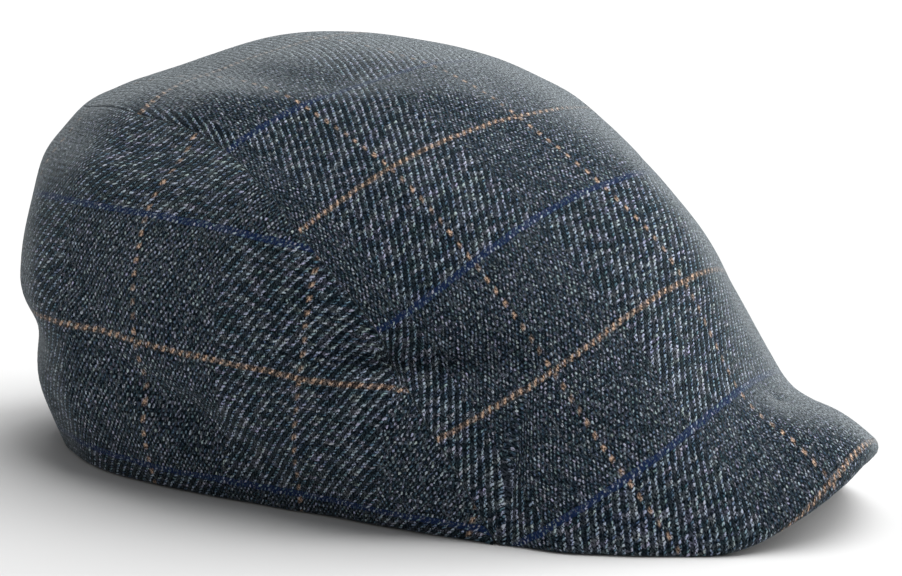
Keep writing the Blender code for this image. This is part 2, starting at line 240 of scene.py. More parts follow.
# Forms of the yarns. Scales of noise are in waves for each yarn.
LEAN = 0.15                # how far a float leans along its rib
ACROSS_POWER = 1.4         # power of a float's rounded form across its yarn
SPECK_NARROW = 0.72        # how narrow a speck is across the ribs
SPECK_SHORT = 0.50         # and how short along them
FIBRE_SCALE = 1.1
FIBRE_ROUGHNESS = 0.7
Stray = namedtuple("Stray", "scale detail reach")
STRAYS = [
    Stray(0.16, 3.0, 1.2),      # slow drift of the yarns, reaching this many yarns
    Stray(0.90, 2.0, 0.7),      # quick wobble
]

# Light of the yarns. A pair is what a noise or chance adds at most, and what there is without it.
# A ramp is four numbers: what it reads from and to, and what it gives from and to.
RIB_LIGHT = 1.30
SPECK_LIGHT = 0.95
ODD_SPECK = 0.55           # light of the second speck in each group of four yarns
GAP_LIGHT = 0.10           # light fibres between the ribs and the specks
FLOAT_LUCK = (0.66, 0.30)
SLUB_SCALE = 0.22          # thick and thin places of the yarns
SLUB = (0.5, 0.75)
TUFT = (0.40, 0.60, 0.05, 2.5)          # ramp from the fibres to the light
TINT = 0.22                # how much the floats differ in hue
CLOUD_SCALE = 0.035        # slow clouds in the dark yarns
CLOUD_DETAIL = 3.0

# The stripes of the overcheck
BLUE_SHARE = (0.04, 0.34, 0.74, 0.06)   # ramp from the ground's lightness to the share of blue
ORANGE_WEFT_HALF = 1.05    # half the width of an orange stripe, in yarns
ORANGE_WARP_HALF = 1.4
ORANGE_MARK_HALF = 1.10    # half the length of a mark of a warp stripe, in yarns
ORANGE_GAP = 0.16          # orange that shows between the floats of a weft stripe
MARK_LEAN = 0.3            # how much the marks of a warp stripe lean
MARK_LUCK = (0.65, 0.35)
ORANGE_SHARE = (0.38, 0.60, 0.15, 1.5)  # ramp from the fibres to the share of orange
ORANGE_TONE = (0.42, 0.64, 0.0, 1.0)    # ramp from the fibres to the lighter orange

# Painted sheen and painted top light, gloss and relief of the tweed
PAINTED_SHEEN = (0.55, 1.0, 0.0, 0.79)           # ramp from facing to the share of painted sheen
PAINTED_TOP_LIGHT = 0.19         # how much more painted sheen shows on cloth that faces up: painted top light, as the light falls from above
PAINTED_SHEEN_TUFT = (0.38, 0.62, 0.4, 1.6)      # ramp from the fibres to the light of the painted sheen
GLOSS = {"Roughness": 0.95, "Specular IOR Level": 0.03, "Sheen Weight": 0.16,
         "Sheen Roughness": 0.25, "Sheen Tint": (0.75, 0.85, 0.85, 1.0)}
RELIEF = 0.0004
FIBRE_RELIEF = 0.8         # relief of the fibres against the floats'

# The plain cloth under the bill
UNDER_DARK = (0.006, 0.007, 0.010, 1.0)
UNDER_PALE = (0.036, 0.040, 0.048, 1.0)
UNDER_THREAD = 0.00045
UNDER_CLOUD_SCALE = 90.0
UNDER_GLOSS = {"Roughness": 0.92, "Specular IOR Level": 0.02, "Sheen Weight": 0.01}
UNDER_RELIEF = 0.0001

# The camera, found by laying the model over the photograph
CAMERA_AZIMUTH = -63.0
CAMERA_ELEVATION = 10.0
CAMERA_ROLL = 1.85
CAMERA_DISTANCE = 0.721
CAMERA_TARGET = (0.0, 0.0051, 0.0566)
CAMERA_LENS = 92.75        # on Blender's sensor, 36 mm wide
CAMERA_SHIFT = (0.01996, -0.00665)

# The lights: a large soft one overhead, a weaker one low behind the cap, and the world's, which
# is stronger low over the floor
LIGHT_PLACE = (3.2, -2.0, 9.6)
LIGHT_AIM = (0.0, 0.0, 0.05)
LIGHT_SIZE = 11.2
LIGHT_POWER = 1850.0
RIM_LIGHT_PLACE = (5.6, -3.2, 2.4)
RIM_LIGHT_SIZE = 2.5
RIM_LIGHT_POWER = 260.0
WORLD_GLOW = {"From Min": 0.0, "From Max": 0.12, "To Min": 0.70, "To Max": 0.30}
FLOOR_COLOUR = (0.62, 0.62, 0.62, 1.0)
FLOOR_ROUGHNESS = 0.9
FLOOR_SIZE = 60.0


def smooth_through(knots, values, at):
    """Read a smooth curve, straight at its two ends, through values at uneven knots."""
    knots = np.asarray(knots, float)
    values = np.asarray(values, float)
    steps = np.diff(knots)[:, None]
    slopes = np.diff(values, axis=0) / steps
    tangents = np.vstack([slopes[:1], slopes])
    weighted = steps[1:] * slopes[:-1] + steps[:-1] * slopes[1:]
    tangents[1:-1] = weighted / (steps[1:] + steps[:-1])
    tangents[0] = 1.5 * slopes[0] - 0.5 * tangents[1]
    tangents[-1] = 1.5 * slopes[-1] - 0.5 * tangents[-2]
    span = np.clip(np.searchsorted(knots, at, side="right") - 1, 0, len(knots) - 2)
    share = ((at - knots[span]) / np.diff(knots)[span])[:, None]
    width = steps[span]
    start = (1 + 2 * share) * (1 - share) ** 2 * values[span]
    start_pull = share * (1 - share) ** 2 * width * tangents[span]
    end = share ** 2 * (3 - 2 * share) * values[span + 1]
    end_pull = share ** 2 * (share - 1) * width * tangents[span + 1]
    return start + start_pull + end + end_pull


def run_to_y(run):
    """Place along the cap, from the share of its length measured from the back."""
    return CAP_LENGTH * (0.5 - run)


def crest(rise):
    """Height of a point on the crown's top or the bill's, from its share."""
    return BILL_RISE + rise * (CROWN_HEIGHT - BILL_RISE)


def width_at(rise):
    """Width of the cap at a height: the hem's on the floor, the crown's from FULL_RISE up."""
    return HEM_WIDTH + (CROWN_WIDTH - HEM_WIDTH) * min(1.0, rise / FULL_RISE)


def hem_normal(index):
    """Outward direction of the hem in plan at one section."""
    before = WALL[max(index - 1, 0)]
    after = WALL[min(index + 1, len(WALL) - 1)]
    along_x = (after.hem_out - before.hem_out) * HEM_WIDTH / 2
    along_y = run_to_y(after.hem_run) - run_to_y(before.hem_run)
    if index == 0:
        along_y = 0.0
    normal = np.array([-along_y, along_x])
    return normal / np.linalg.norm(normal)


def section_row(row, seam, belly, hem):
    """The five control points of one section."""
    spine = (0.0, run_to_y(row.spine_run), crest(row.spine_rise))
    edge_y = (spine[1] + seam[1]) / 2
    edge = (row.edge_out * CROWN_WIDTH / 2, edge_y, crest(row.edge_rise))
    return np.array([spine, edge, seam, belly, hem])


def section_points():
    """Control points of every section: spine, edge, seam, belly and hem."""
    rows = []
    for index, (crown, wall) in enumerate(zip(CROWN, WALL)):
        seam_x = crown.seam_out * width_at(crown.seam_rise) / 2
        seam = (seam_x, run_to_y(crown.seam_run), crown.seam_rise * CROWN_HEIGHT)
        hem = (wall.hem_out * HEM_WIDTH / 2, run_to_y(wall.hem_run), -TRIM_DEPTH)
        outward = hem_normal(index) * wall.overhang * BELLY_OVERHANG
        belly = (hem[0] + outward[0], hem[1] + outward[1], wall.belly_rise * BELLY_HEIGHT)
        rows.append(section_row(crown, seam, belly, hem))
    corner = rows[-1]
    corner[2][2] = -TRIM_DEPTH
    corner[3:] = corner[2]
    for bill in BILL:
        rim_z = bill.rim_rise * BILL_RISE - TRIM_DEPTH * (1 - bill.rim_rise)
        rim = (bill.rim_out * HEM_WIDTH / 2, run_to_y(bill.rim_run), rim_z)
        rows.append(section_row(bill, rim, rim, rim))
    return np.array(rows)


SECTIONS = section_points()
CORNER = len(CROWN) - 1
TIP = len(SECTIONS) - 1
MIRROR = np.array([-1, 1, 1])


def controls_at(station):
    """Control points between sections; the station counts sections from the back."""
    before_back = SECTIONS[1:2] * MIRROR
    beyond_tip = SECTIONS[-2:-1] * MIRROR
    every = np.concatenate([before_back, SECTIONS, beyond_tip]).reshape(TIP + 3, -1)
    return smooth_through(np.arange(-1, TIP + 2), every, np.array([station])).reshape(5, 3)


def section_line(station):
    """Knots and points of the line from the far edge over the spine down to the hem."""
    spine, edge, seam, belly, hem = controls_at(station)
    spine[0] = 0.0
    points = [edge * MIRROR, spine, edge, seam]
    if station < CORNER:
        points += [belly, hem]
    points = np.array(points)
    lengths = np.linalg.norm(np.diff(points, axis=0), axis=1)
    return np.concatenate([[0.0], np.cumsum(lengths)]), points


def skin_row(station, downs):
    """Points of the skin on one section: down is 0 on the spine, 1 on the seam or rim, 2 on the hem."""
    knots, points = section_line(station)
    spine_at, seam_at = knots[1], knots[3]
    upper = spine_at + downs * (seam_at - spine_at)
    lower = seam_at + (downs - 1) * (knots[-1] - seam_at)
    return smooth_through(knots, points, np.where(downs <= 1, upper, lower))


def normal_row(station, downs):
    """Outward directions of the skin on one section."""
    lowest = 2.0 if station < CORNER else 1.0
    back, front = max(station - SLOPE_STEP, 0), min(station + SLOPE_STEP, TIP)
    along = skin_row(front, downs) - skin_row(back, downs)
    below = skin_row(station, np.minimum(downs + SLOPE_STEP, lowest))
    above = skin_row(station, np.maximum(downs - SLOPE_STEP, 0.0))
    normal = np.cross(along, below - above)
    return normal / np.linalg.norm(normal, axis=1)[:, None]


def fold_depths(points, side):
    """How far the folds press the cloth in at the points."""
    run = 0.5 - points[:, 1] / CAP_LENGTH
    rise = points[:, 2] / CROWN_HEIGHT
    depth = np.zeros(len(points))
    for fold in FOLDS + CREASES:
        if fold.side != side:
            continue
        lean = np.radians(fold.lean)
        ahead, above = fold.run - run, rise - fold.rise
        along = (-ahead * np.cos(lean) + above * np.sin(lean)) / fold.long
        up = (above * np.cos(lean) + ahead * np.sin(lean)) / fold.tall
        depth += fold.depth * FOLD_DEPTH * np.exp(-along ** 2 - up ** 2)
    depth += WAVE_DEPTH * np.array([noise.noise(point) for point in points * (side, 1, 1) / WAVE_LENGTH])
    off_middle = np.clip(points[:, 0] / (FOLD_FREE * CROWN_WIDTH), 0.0, 1.0)
    return depth * off_middle ** 2 * (3 - 2 * off_middle)


def small_shift(points):
    """Small shifts of points near the tip of the bill and the back of the crown."""
    total = np.zeros_like(points)
    for shift in SHIFTS:
        place = np.array([shift.out, run_to_y(shift.run), shift.rise * CROWN_HEIGHT])
        away = (points - place) / (shift.half, shift.reach, shift.reach)
        weight = np.exp(-(away ** 2).sum(axis=1))
        total += weight[:, None] * (0.0, shift.back, shift.up)
    return total


def cloth_row(station, downs, inward, side):
    """Points of the finished cloth on one section, moved inward by distances."""
    downs = np.asarray(downs, float)
    points = skin_row(station, downs)
    away = fold_depths(points, side) + inward
    points = (points - normal_row(station, downs) * away[:, None]) * (side, 1, 1)
    points = points + small_shift(points)
    points[:, 2] = np.maximum(points[:, 2], 0.0)
    return points


def off_seam(station, direction):
    """Change of down that leads one metre squarely off the seam, up (-1) or down (1) the skin."""
    back, front = max(station - SLOPE_STEP, 0), min(station + SLOPE_STEP, TIP)
    seam = np.array([1.0])
    along = skin_row(front, seam)[0] - skin_row(back, seam)[0]
    along /= np.linalg.norm(along)
    away = skin_row(station, seam + direction * SLOPE_STEP)[0] - skin_row(station, seam)[0]
    square = away - along * np.dot(away, along)
    return direction * SLOPE_STEP / np.linalg.norm(square)


def on_floor(station, first, last):
    """The down at which the skin meets the floor, between two others, or the last one."""
    downs = np.linspace(first, last, STEPS_TO_FLOOR)
    heights = skin_row(station, downs)[:, 2]
    if heights[-1] > 0:
        return last
    return float(np.interp(0.0, heights[::-1], downs[::-1]))


def fade(value, start, end):
    """Smooth step from 0 at the start to 1 at the end."""
    share = np.clip((value - start) / (end - start), 0.0, 1.0)
    return share * share * (3 - 2 * share)


def top_edge(station):
    """Downs and inward distances of the top panel, from the spine to the end of its rolled edge."""
    per_metre = off_seam(station, -1)
    on_bill = fade(station, CORNER - SEAM_ROLL_END, CORNER + RIM_ROLL_START)
    radius = SEAM_ROLL + (RIM_ROLL - SEAM_ROLL) * on_bill
    turn = np.radians(SEAM_TURN + (RIM_TURN - SEAM_TURN) * on_bill)
    edge = on_floor(station, *RIM_SEARCH) + per_metre * (1 - on_bill) * SEAM_SPACE / 2
    angles = np.linspace(0, turn, ROLL_STEPS + 1)[1:]
    start = edge + per_metre * radius
    roll = start - per_metre * radius * np.sin(angles)
    flat = np.linspace(0, start, STEPS_ACROSS_TOP)
    downs = np.concatenate([flat, roll])
    inward = np.concatenate([flat * 0, radius * (1 - np.cos(angles))])
    return downs, inward


def side_edge(station):
    """Downs and inward distances of a side panel, from its rolled seam to its rolled hem."""
    per_metre = off_seam(station, 1)
    hem = on_floor(station, *HEM_SEARCH)
    top = 1 + per_metre * SEAM_SPACE / 2
    room = (hem - top) / per_metre
    seam_radius = min(SEAM_ROLL, ROLL_SHARE * room)
    hem_radius = min(HEM_ROLL, ROLL_SHARE * room)
    quarter = np.linspace(np.pi / 2, 0, ROLL_STEPS + 1)[:-1]
    seam_downs = top + per_metre * seam_radius * (1 - np.sin(quarter))
    seam_inward = seam_radius * (1 - np.cos(quarter))
    hem_downs = hem - per_metre * hem_radius * (1 - np.sin(quarter[::-1]))
    hem_inward = hem_radius * (1 - np.cos(quarter[::-1]))
    flat = np.linspace(top + per_metre * seam_radius, hem - per_metre * hem_radius, STEPS_DOWN_SIDE)
    downs = np.concatenate([seam_downs, flat, hem_downs])
    inward = np.concatenate([seam_inward, flat * 0, hem_inward])
    return downs, inward


def shell(name, outer, inner, cloth_map, folded, material):
    """A closed wall from grids of points on its two faces, with the cloth's own coordinates."""
    mesh = bmesh.new()
    layer = mesh.loops.layers.uv.new("cloth")
    sides = [[[mesh.verts.new(place) for place in row] for row in grid] for grid in (outer, inner)]
    last_row, last_column = outer.shape[0] - 1, outer.shape[1] - 1

    def add_face(*corners):
        face = mesh.faces.new([sides[side][row][column] for side, row, column in corners])
        for loop, (side, row, column) in zip(face.loops, corners):
            loop[layer].uv = cloth_map[row][column]

    for row in range(last_row):
        for column in range(last_column):
            ring = [(row, column), (row, column + 1), (row + 1, column + 1), (row + 1, column)]
            add_face(*[(0, *corner) for corner in ring])
            add_face(*[(1, *corner) for corner in ring[::-1]])
        add_face((0, row, 0), (0, row + 1, 0), (1, row + 1, 0), (1, row, 0))
        add_face((1, row, last_column), (1, row + 1, last_column),
                 (0, row + 1, last_column), (0, row, last_column))
    if not folded:
        for column in range(last_column):
            add_face((1, 0, column), (1, 0, column + 1), (0, 0, column + 1), (0, 0, column))
            add_face((0, last_row, column), (0, last_row, column + 1),
                     (1, last_row, column + 1), (1, last_row, column))
    bmesh.ops.remove_doubles(mesh, verts=mesh.verts, dist=WELD_DISTANCE)
    bmesh.ops.recalc_face_normals(mesh, faces=mesh.faces)
    return mesh_object(name, mesh, material)


def mesh_object(name, mesh, material):
    """An object of the scene from a finished mesh."""
    data = bpy.data.meshes.new(name)
    mesh.to_mesh(data)
    mesh.free()
    data.shade_smooth()
    data.materials.append(material)
    made = bpy.data.objects.new(name, data)
    bpy.context.scene.collection.objects.link(made)
    return made


def some_of(count, kept):
    """Every PATTERN_STEP-th place of a row, but all of those within kept of its ends."""
    inside = np.arange(kept, count - kept, PATTERN_STEP)
    return np.unique(np.concatenate([np.arange(kept), inside, np.arange(count - kept, count)]))


def flatten(grid, folded):
    """Flat coordinates of a grid of points on curved cloth, with as little stretch as can be."""
    some_rows = some_of(grid.shape[0], 1)
    some_columns = some_of(grid.shape[1], ROLL_STEPS + 1)
    if folded:
        middle = grid.shape[1] // 2
        right = some_of(middle + 1, ROLL_STEPS + 1)
        some_columns = np.unique(np.concatenate([right, grid.shape[1] - 1 - right]))
    coarse = unwrap(grid[np.ix_(some_rows, some_columns)], folded)
    along = smooth_through(some_rows, coarse.reshape(len(some_rows), -1), np.arange(grid.shape[0]))
    along = along.reshape(grid.shape[0], len(some_columns), 2).transpose(1, 0, 2)
    both = smooth_through(some_columns, along.reshape(len(some_columns), -1), np.arange(grid.shape[1]))
    return both.reshape(grid.shape[1], grid.shape[0], 2).transpose(1, 0, 2)


def unwrap(grid, folded):
    """Flat coordinates of a grid of points, at the cloth's real size."""
    rows, columns = grid.shape[:2]
    index = np.arange(rows * columns).reshape(rows, columns)
    if folded:
        half = columns // 2
        for row in (0, rows - 1):
            index[row, half + 1:] = index[row, :half][::-1]
    used, tight = np.unique(index, return_inverse=True)
    tight = tight.reshape(rows, columns)
    corners = [tight[:-1, :-1], tight[:-1, 1:], tight[1:, 1:], tight[1:, :-1]]
    faces = np.stack([corner.ravel() for corner in corners], axis=1)
    data = bpy.data.meshes.new("pattern")
    data.from_pydata(grid.reshape(-1, 3)[used].tolist(), [], faces.tolist())
    data.uv_layers.new(name="flat")
    pattern = bpy.data.objects.new("pattern", data)
    bpy.context.scene.collection.objects.link(pattern)
    bpy.context.view_layer.objects.active = pattern
    pattern.select_set(True)
    bpy.ops.object.mode_set(mode="EDIT")
    bpy.ops.mesh.select_all(action="SELECT")
    bpy.ops.uv.unwrap(method="MINIMUM_STRETCH", margin=0.0)
    bpy.ops.object.mode_set(mode="OBJECT")
    loops = np.empty(len(data.loops), int)
    data.loops.foreach_get("vertex_index", loops)
    places = np.empty(len(data.loops) * 2)
    data.uv_layers["flat"].data.foreach_get("uv", places)
    flat = np.empty((len(used), 2))
    flat[loops] = places.reshape(-1, 2)
    area = sum(face.area for face in data.polygons)
    flat = flat[tight]
    bpy.data.objects.remove(pattern)
    bpy.data.meshes.remove(data)
    return flat * np.sqrt(area / flat_area(flat))


def flat_area(flat):
    """Area that a grid of flat points covers."""
    one, two = flat[1:, 1:] - flat[:-1, :-1], flat[1:, :-1] - flat[:-1, 1:]
    return abs((one[..., 0] * two[..., 1] - one[..., 1] * two[..., 0]).sum()) / 2


def lay_on_cloth(flat, forward, across, zero):
    """Turn the flat grid so that the yarns lie as they do in the cap.

    forward and across are two grid points each: the first pair leads along +V, and the second
    towards +U. The grid point zero comes to lie at 0, 0.
    """
    heading = flat[forward[1]] - flat[forward[0]]
    heading /= np.linalg.norm(heading)
    right = np.array([heading[1], -heading[0]])
    turned = np.stack([flat @ right, flat @ heading], axis=-1)
    if turned[across[1]][0] < turned[across[0]][0]:
        turned[..., 0] *= -1
    return turned - turned[zero]


def bend_kernel(distance):
    """Thin-plate kernel, on distances in metres."""
    far = np.maximum(distance / PLATE_UNIT, TINY)
    return far ** 2 * np.log(far)


def stripe_number(flat, marks):
    """The stripes' numbers, whole on the stripes and even between them, at flat points."""
    places = np.array([(mark.across, mark.along) for mark in marks]) * MARK_UNIT
    count = len(marks)
    away = np.linalg.norm(places[:, None] - places[None], axis=-1)
    base = np.column_stack([np.ones(count), places])
    system = np.zeros((count + 3, count + 3))
    system[:count, :count] = bend_kernel(away) + MARK_EASE * np.eye(count)
    system[:count, count:] = base
    system[count:, :count] = base.T
    wanted = np.concatenate([[mark.stripe for mark in marks], np.zeros(3)])
    weights = np.linalg.solve(system, wanted)
    points = flat.reshape(-1, 2)
    away = np.linalg.norm(points[:, None] - places[None], axis=-1)
    plane = np.column_stack([np.ones(len(points)), points]) @ weights[count:]
    return (bend_kernel(away) @ weights[:count] + plane).reshape(flat.shape[:-1])


def yarn_counts(flat, warp_marks, weft_marks):
    """Cloth coordinates: the numbers of the warp yarn and the weft yarn at flat points."""
    ends = ENDS * stripe_number(flat, warp_marks)
    picks = PICKS * stripe_number(flat, weft_marks)
    return np.stack([ends, picks], axis=-1)


def top_grids():
    """Outer and inner points of the top panel, from its left edge over the spine to its right."""
    stations = np.linspace(0, TIP, TIP * STEPS_PER_SECTION + 1)
    outer, inner = [], []
    for station in stations:
        downs, inward = top_edge(station)
        deep = np.maximum(inward, CLOTH_WALL)
        kept = np.minimum(downs, downs[-1])
        left_out = cloth_row(station, downs, inward, 1)
        right_out = cloth_row(station, downs, inward, -1)
        left_in = cloth_row(station, kept, deep, 1)
        right_in = cloth_row(station, kept, deep, -1)
        outer.append(np.concatenate([left_out[:0:-1], right_out]))
        inner.append(np.concatenate([left_in[:0:-1], right_in]))
    outer, inner = np.array(outer), np.array(inner)
    for grid in (outer, inner):
        for end in (0, -1):
            grid[end] = (grid[end] + grid[end, ::-1]) / 2
            grid[end, :, 0] = 0.0
    return outer, inner


def top_panel(material):
    """The long panel over crown and bill."""
    outer, inner = top_grids()
    middle = outer.shape[1] // 2
    flat = flatten(outer, True)
    forward = [(row, middle) for row in TOP_FORWARD]
    across = [(TOP_ZERO, column) for column in TOP_ACROSS]
    flat = lay_on_cloth(flat, forward, across, (TOP_ZERO, middle))
    cloth_map = yarn_counts(flat, TOP_WARP, TOP_WEFT)
    panel = shell("top_panel_cloth", outer, inner, cloth_map, True, material)
    return panel


def side_grids(side):
    """Outer and inner points of a side panel, from the centre back round to the bill's corner."""
    stations = np.linspace(0, SIDE_END, int(SIDE_END * STEPS_PER_SECTION) + 1)
    outer, inner = [], []
    for station in stations:
        downs, inward = side_edge(station)
        outer.append(cloth_row(station, downs, inward, side))
        inner.append(cloth_row(station, downs, np.maximum(inward, CLOTH_WALL), side))
    outer, inner = np.array(outer), np.array(inner)
    for grid in (outer, inner):
        grid[0, :, 0] = side * SEAM_SPACE / 2
    return outer, inner


def side_panel(name, side, material):
    """The wall from the centre-back seam round to the corner of the bill."""
    outer, inner = side_grids(side)
    flat = flatten(outer, False)
    forward = [(SIDE_ZERO[0], column) for column in SIDE_FORWARD]
    flat = lay_on_cloth(flat, forward, SIDE_ACROSS, SIDE_ZERO)
    cloth_map = yarn_counts(flat, SIDE_WARP, SIDE_WEFT)
    cloth_map[..., 0] *= -side
    panel = shell(name, outer, inner, cloth_map, False, material)
    return panel


def board_share(station):
    """How much of a section, in from the rim, lies on the board."""
    shares = [CORNER_BOARD] + [bill.board for bill in BILL]
    return float(np.interp(station, np.arange(CORNER, TIP + 1), shares))


def peak(material):
    """The bill's underside."""
    stations = np.linspace(CORNER + BOARD_START, TIP, (TIP - CORNER) * STEPS_PER_SECTION + 1)
    top, bottom = CLOTH_WALL + BOARD_CLEARANCE, CLOTH_WALL + BOARD_CLEARANCE + BOARD_WALL
    grids = []
    for depth in (bottom, top):
        rows = []
        for station in stations:
            per_metre = off_seam(station, -1)
            rim = on_floor(station, *RIM_SEARCH) + per_metre * RIM_ROLL
            across = np.linspace(rim, rim - board_share(station), STEPS_ACROSS_BOARD)
            rows.append([cloth_row(station, across, across * 0 + depth, side) for side in (1, -1)])
        rows = np.array(rows)
        rows[-1][..., 0] = 0.0
        grids.append(np.concatenate([rows[:, 0], rows[-2::-1, 1]]))
    return shell("peak_underside", grids[0], grids[1], grids[0][..., :2], False, material)


class Graph:
    """Short ways to build a material's nodes."""

    def __init__(self, name):
        self.material = bpy.data.materials.new(name)
        self.material.use_nodes = True
        self.tree = self.material.node_tree
        self.shader = self.tree.nodes["Principled BSDF"]

    def node(self, kind, **settings):
        """A new node."""
        made = self.tree.nodes.new(kind)
        for key, value in settings.items():
            setattr(made, key, value)
        return made

    def feed(self, socket, value):
        """Link a socket, or set a plain value."""
        if isinstance(value, bpy.types.NodeSocket):
            self.tree.links.new(value, socket)
        else:
            socket.default_value = value

    def cloth(self):
        """The cloth's own coordinates."""
        return self.node("ShaderNodeUVMap", uv_map="cloth").outputs["UV"]

    def math(self, operation, *values):
        """A number worked out from others."""
        made = self.node("ShaderNodeMath", operation=operation)
        for socket, value in zip(made.inputs, values):
            self.feed(socket, value)
        return made.outputs["Value"]

    def vector(self, operation, *values):
        """A vector worked out from others."""
        made = self.node("ShaderNodeVectorMath", operation=operation)
        for socket, value in zip(made.inputs, values):
            self.feed(socket, value)
        return made.outputs[0]

    def mix(self, share, first, second):
        """From the first colour at 0 to the second at 1."""
        made = self.node("ShaderNodeMix", data_type="RGBA")
        self.feed(made.inputs[0], share)
        self.feed(made.inputs[6], first)
        self.feed(made.inputs[7], second)
        return made.outputs[2]

    def blend(self, share, first, second):
        """From the first number at 0 to the second at 1."""
        made = self.node("ShaderNodeMix", data_type="FLOAT")
        self.feed(made.inputs[0], share)
        self.feed(made.inputs[2], first)
        self.feed(made.inputs[3], second)
        return made.outputs[0]

    def ramp(self, value, start, end, low, high):
        """Smooth step from low to high as the value goes from start to end."""
        made = self.node("ShaderNodeMapRange", interpolation_type="SMOOTHSTEP")
        names = ("Value", "From Min", "From Max", "To Min", "To Max")
        for name, number in zip(names, (value, start, end, low, high)):
            self.feed(made.inputs[name], number)
        return made.outputs["Result"]

    def join(self, first, second):
        """A vector with two numbers as its X and Y."""
        made = self.node("ShaderNodeCombineXYZ")
        self.feed(made.inputs["X"], first)
        self.feed(made.inputs["Y"], second)
        return made.outputs["Vector"]

    def parts(self, vector):
        """The X, Y and Z of a vector."""
        made = self.node("ShaderNodeSeparateXYZ")
        self.feed(made.inputs[0], vector)
        return made.outputs

    def noise(self, vector, scale, detail=2.0, roughness=0.5, output="Fac"):
        """Soft noise, as a number or as a colour."""
        made = self.node("ShaderNodeTexNoise")
        self.feed(made.inputs["Vector"], vector)
        made.inputs["Scale"].default_value = scale
        made.inputs["Detail"].default_value = detail
        made.inputs["Roughness"].default_value = roughness
        return made.outputs[output]

    def chance(self, vector):
        """An even random number and colour for each whole place."""
        made = self.node("ShaderNodeTexWhiteNoise", noise_dimensions="3D")
        self.feed(made.inputs["Vector"], vector)
        return made.outputs["Value"], made.outputs["Color"]

    def finish(self, colour, height, depth, gloss):
        """Set the shader's colour, relief and gloss."""
        self.feed(self.shader.inputs["Base Color"], colour)
        for name, value in gloss.items():
            self.feed(self.shader.inputs[name], value)
        bump = self.node("ShaderNodeBump")
        bump.inputs["Distance"].default_value = depth
        self.feed(bump.inputs["Height"], height)
        self.feed(self.shader.inputs["Normal"], bump.outputs["Normal"])
        return self.material


def is_stripe(graph, yarn, every, first, count):
    """1 on count yarns of every so many, from the first one."""
    place = graph.math("FLOORED_MODULO", graph.math("SUBTRACT", yarn, first), every)
    return graph.math("LESS_THAN", place, count - HALF_YARN)


def from_middle(graph, place, every):
    """Distance past the middle of each stretch of so many yarns."""
    return graph.math("SUBTRACT", graph.math("FLOORED_MODULO", place, every), every / 2)


def across_yarn(graph, yarn):
    """Place across a yarn, from -1 to 1."""
    return graph.math("MULTIPLY_ADD", graph.math("FRACT", yarn), 2.0, -1.0)


def rounded(graph, place, power=2.0):
    """1 in the middle of -1 to 1, and 0 at its ends and beyond."""
    flat = graph.math("POWER", graph.math("ABSOLUTE", place), power)
    return graph.math("MAXIMUM", graph.math("SUBTRACT", 1.0, flat), 0.0)


def strayed(graph, cloth):
    """Places on the cloth, moved a little as hand-spun yarns stray and wobble."""
    for stray in STRAYS:
        waves = graph.noise(cloth, stray.scale, stray.detail, output="Color")
        cloth = graph.vector("MULTIPLY_ADD", waves, (stray.reach, stray.reach, 0.0), cloth)
    parts = graph.parts(cloth)
    return parts["X"], parts["Y"]


def float_shape(graph, yarn, along):
    """Number of the yarn that floats here, and the float's rounded form, which leans along the rib."""
    leaned = graph.math("MULTIPLY_ADD", along, LEAN, yarn)
    across = rounded(graph, across_yarn(graph, leaned), ACROSS_POWER)
    return graph.math("FLOOR", leaned), graph.math("MULTIPLY", across, rounded(graph, along))


Yarns = namedtuple("Yarns", "end pick both weft weft_along weft_shape weft_up height column ribbed fibres")


def lay_yarns(graph, cloth):
    """Where the yarns, the floats of the twill, the squares of the check and the fibres lie."""
    math = graph.math
    end, pick = strayed(graph, cloth)
    both = math("ADD", end, pick)
    weft_along = from_middle(graph, math("SUBTRACT", both, WEFT_SHIFT), TWILL)
    warp_along = from_middle(graph, math("SUBTRACT", both, WARP_SHIFT), TWILL)
    weft, weft_shape = float_shape(graph, pick, weft_along)
    warp_shape = float_shape(graph, end, warp_along)[1]
    weft_up = math("LESS_THAN", math("ABSOLUTE", weft_along), 1.0)
    height = graph.blend(weft_up, warp_shape, weft_shape)
    column = math("ROUND", math("DIVIDE", end, float(ENDS)))
    row = math("FLOOR", math("DIVIDE", pick, 2.0 * PICKS))
    ribbed = math("FLOORED_MODULO", math("ADD", column, row), 2.0)
    fibres = graph.noise(cloth, FIBRE_SCALE, roughness=FIBRE_ROUGHNESS)
    return Yarns(end, pick, both, weft, weft_along, weft_shape, weft_up, height, column, ribbed, fibres)


def speck_shape(graph, end, pick):
    """Form of a speck in its yarn crossing, longer along the ribs than across them."""
    math = graph.math
    across, down = across_yarn(graph, end), across_yarn(graph, pick)
    wide = math("MULTIPLY", math("ADD", across, down), SPECK_NARROW)
    long = math("MULTIPLY", math("SUBTRACT", across, down), SPECK_SHORT)
    away = math("MULTIPLY_ADD", wide, wide, math("MULTIPLY", long, long))
    return math("MAXIMUM", math("SUBTRACT", 1.0, away), 0.0)


def speck_light(graph, end, pick):
    """Specks of the squares that aren't ribbed: a light one and a fainter one in four yarns."""
    math = graph.math
    even_end = is_stripe(graph, math("FLOOR", end), 2.0, 0.0, 1)
    even_pick = is_stripe(graph, math("FLOOR", pick), 2.0, 0.0, 1)
    alike = math("SUBTRACT", 1.0, math("ABSOLUTE", math("SUBTRACT", even_end, even_pick)))
    light = math("MULTIPLY", alike, graph.blend(even_end, ODD_SPECK, 1.0))
    return math("MULTIPLY", light, speck_shape(graph, end, pick))


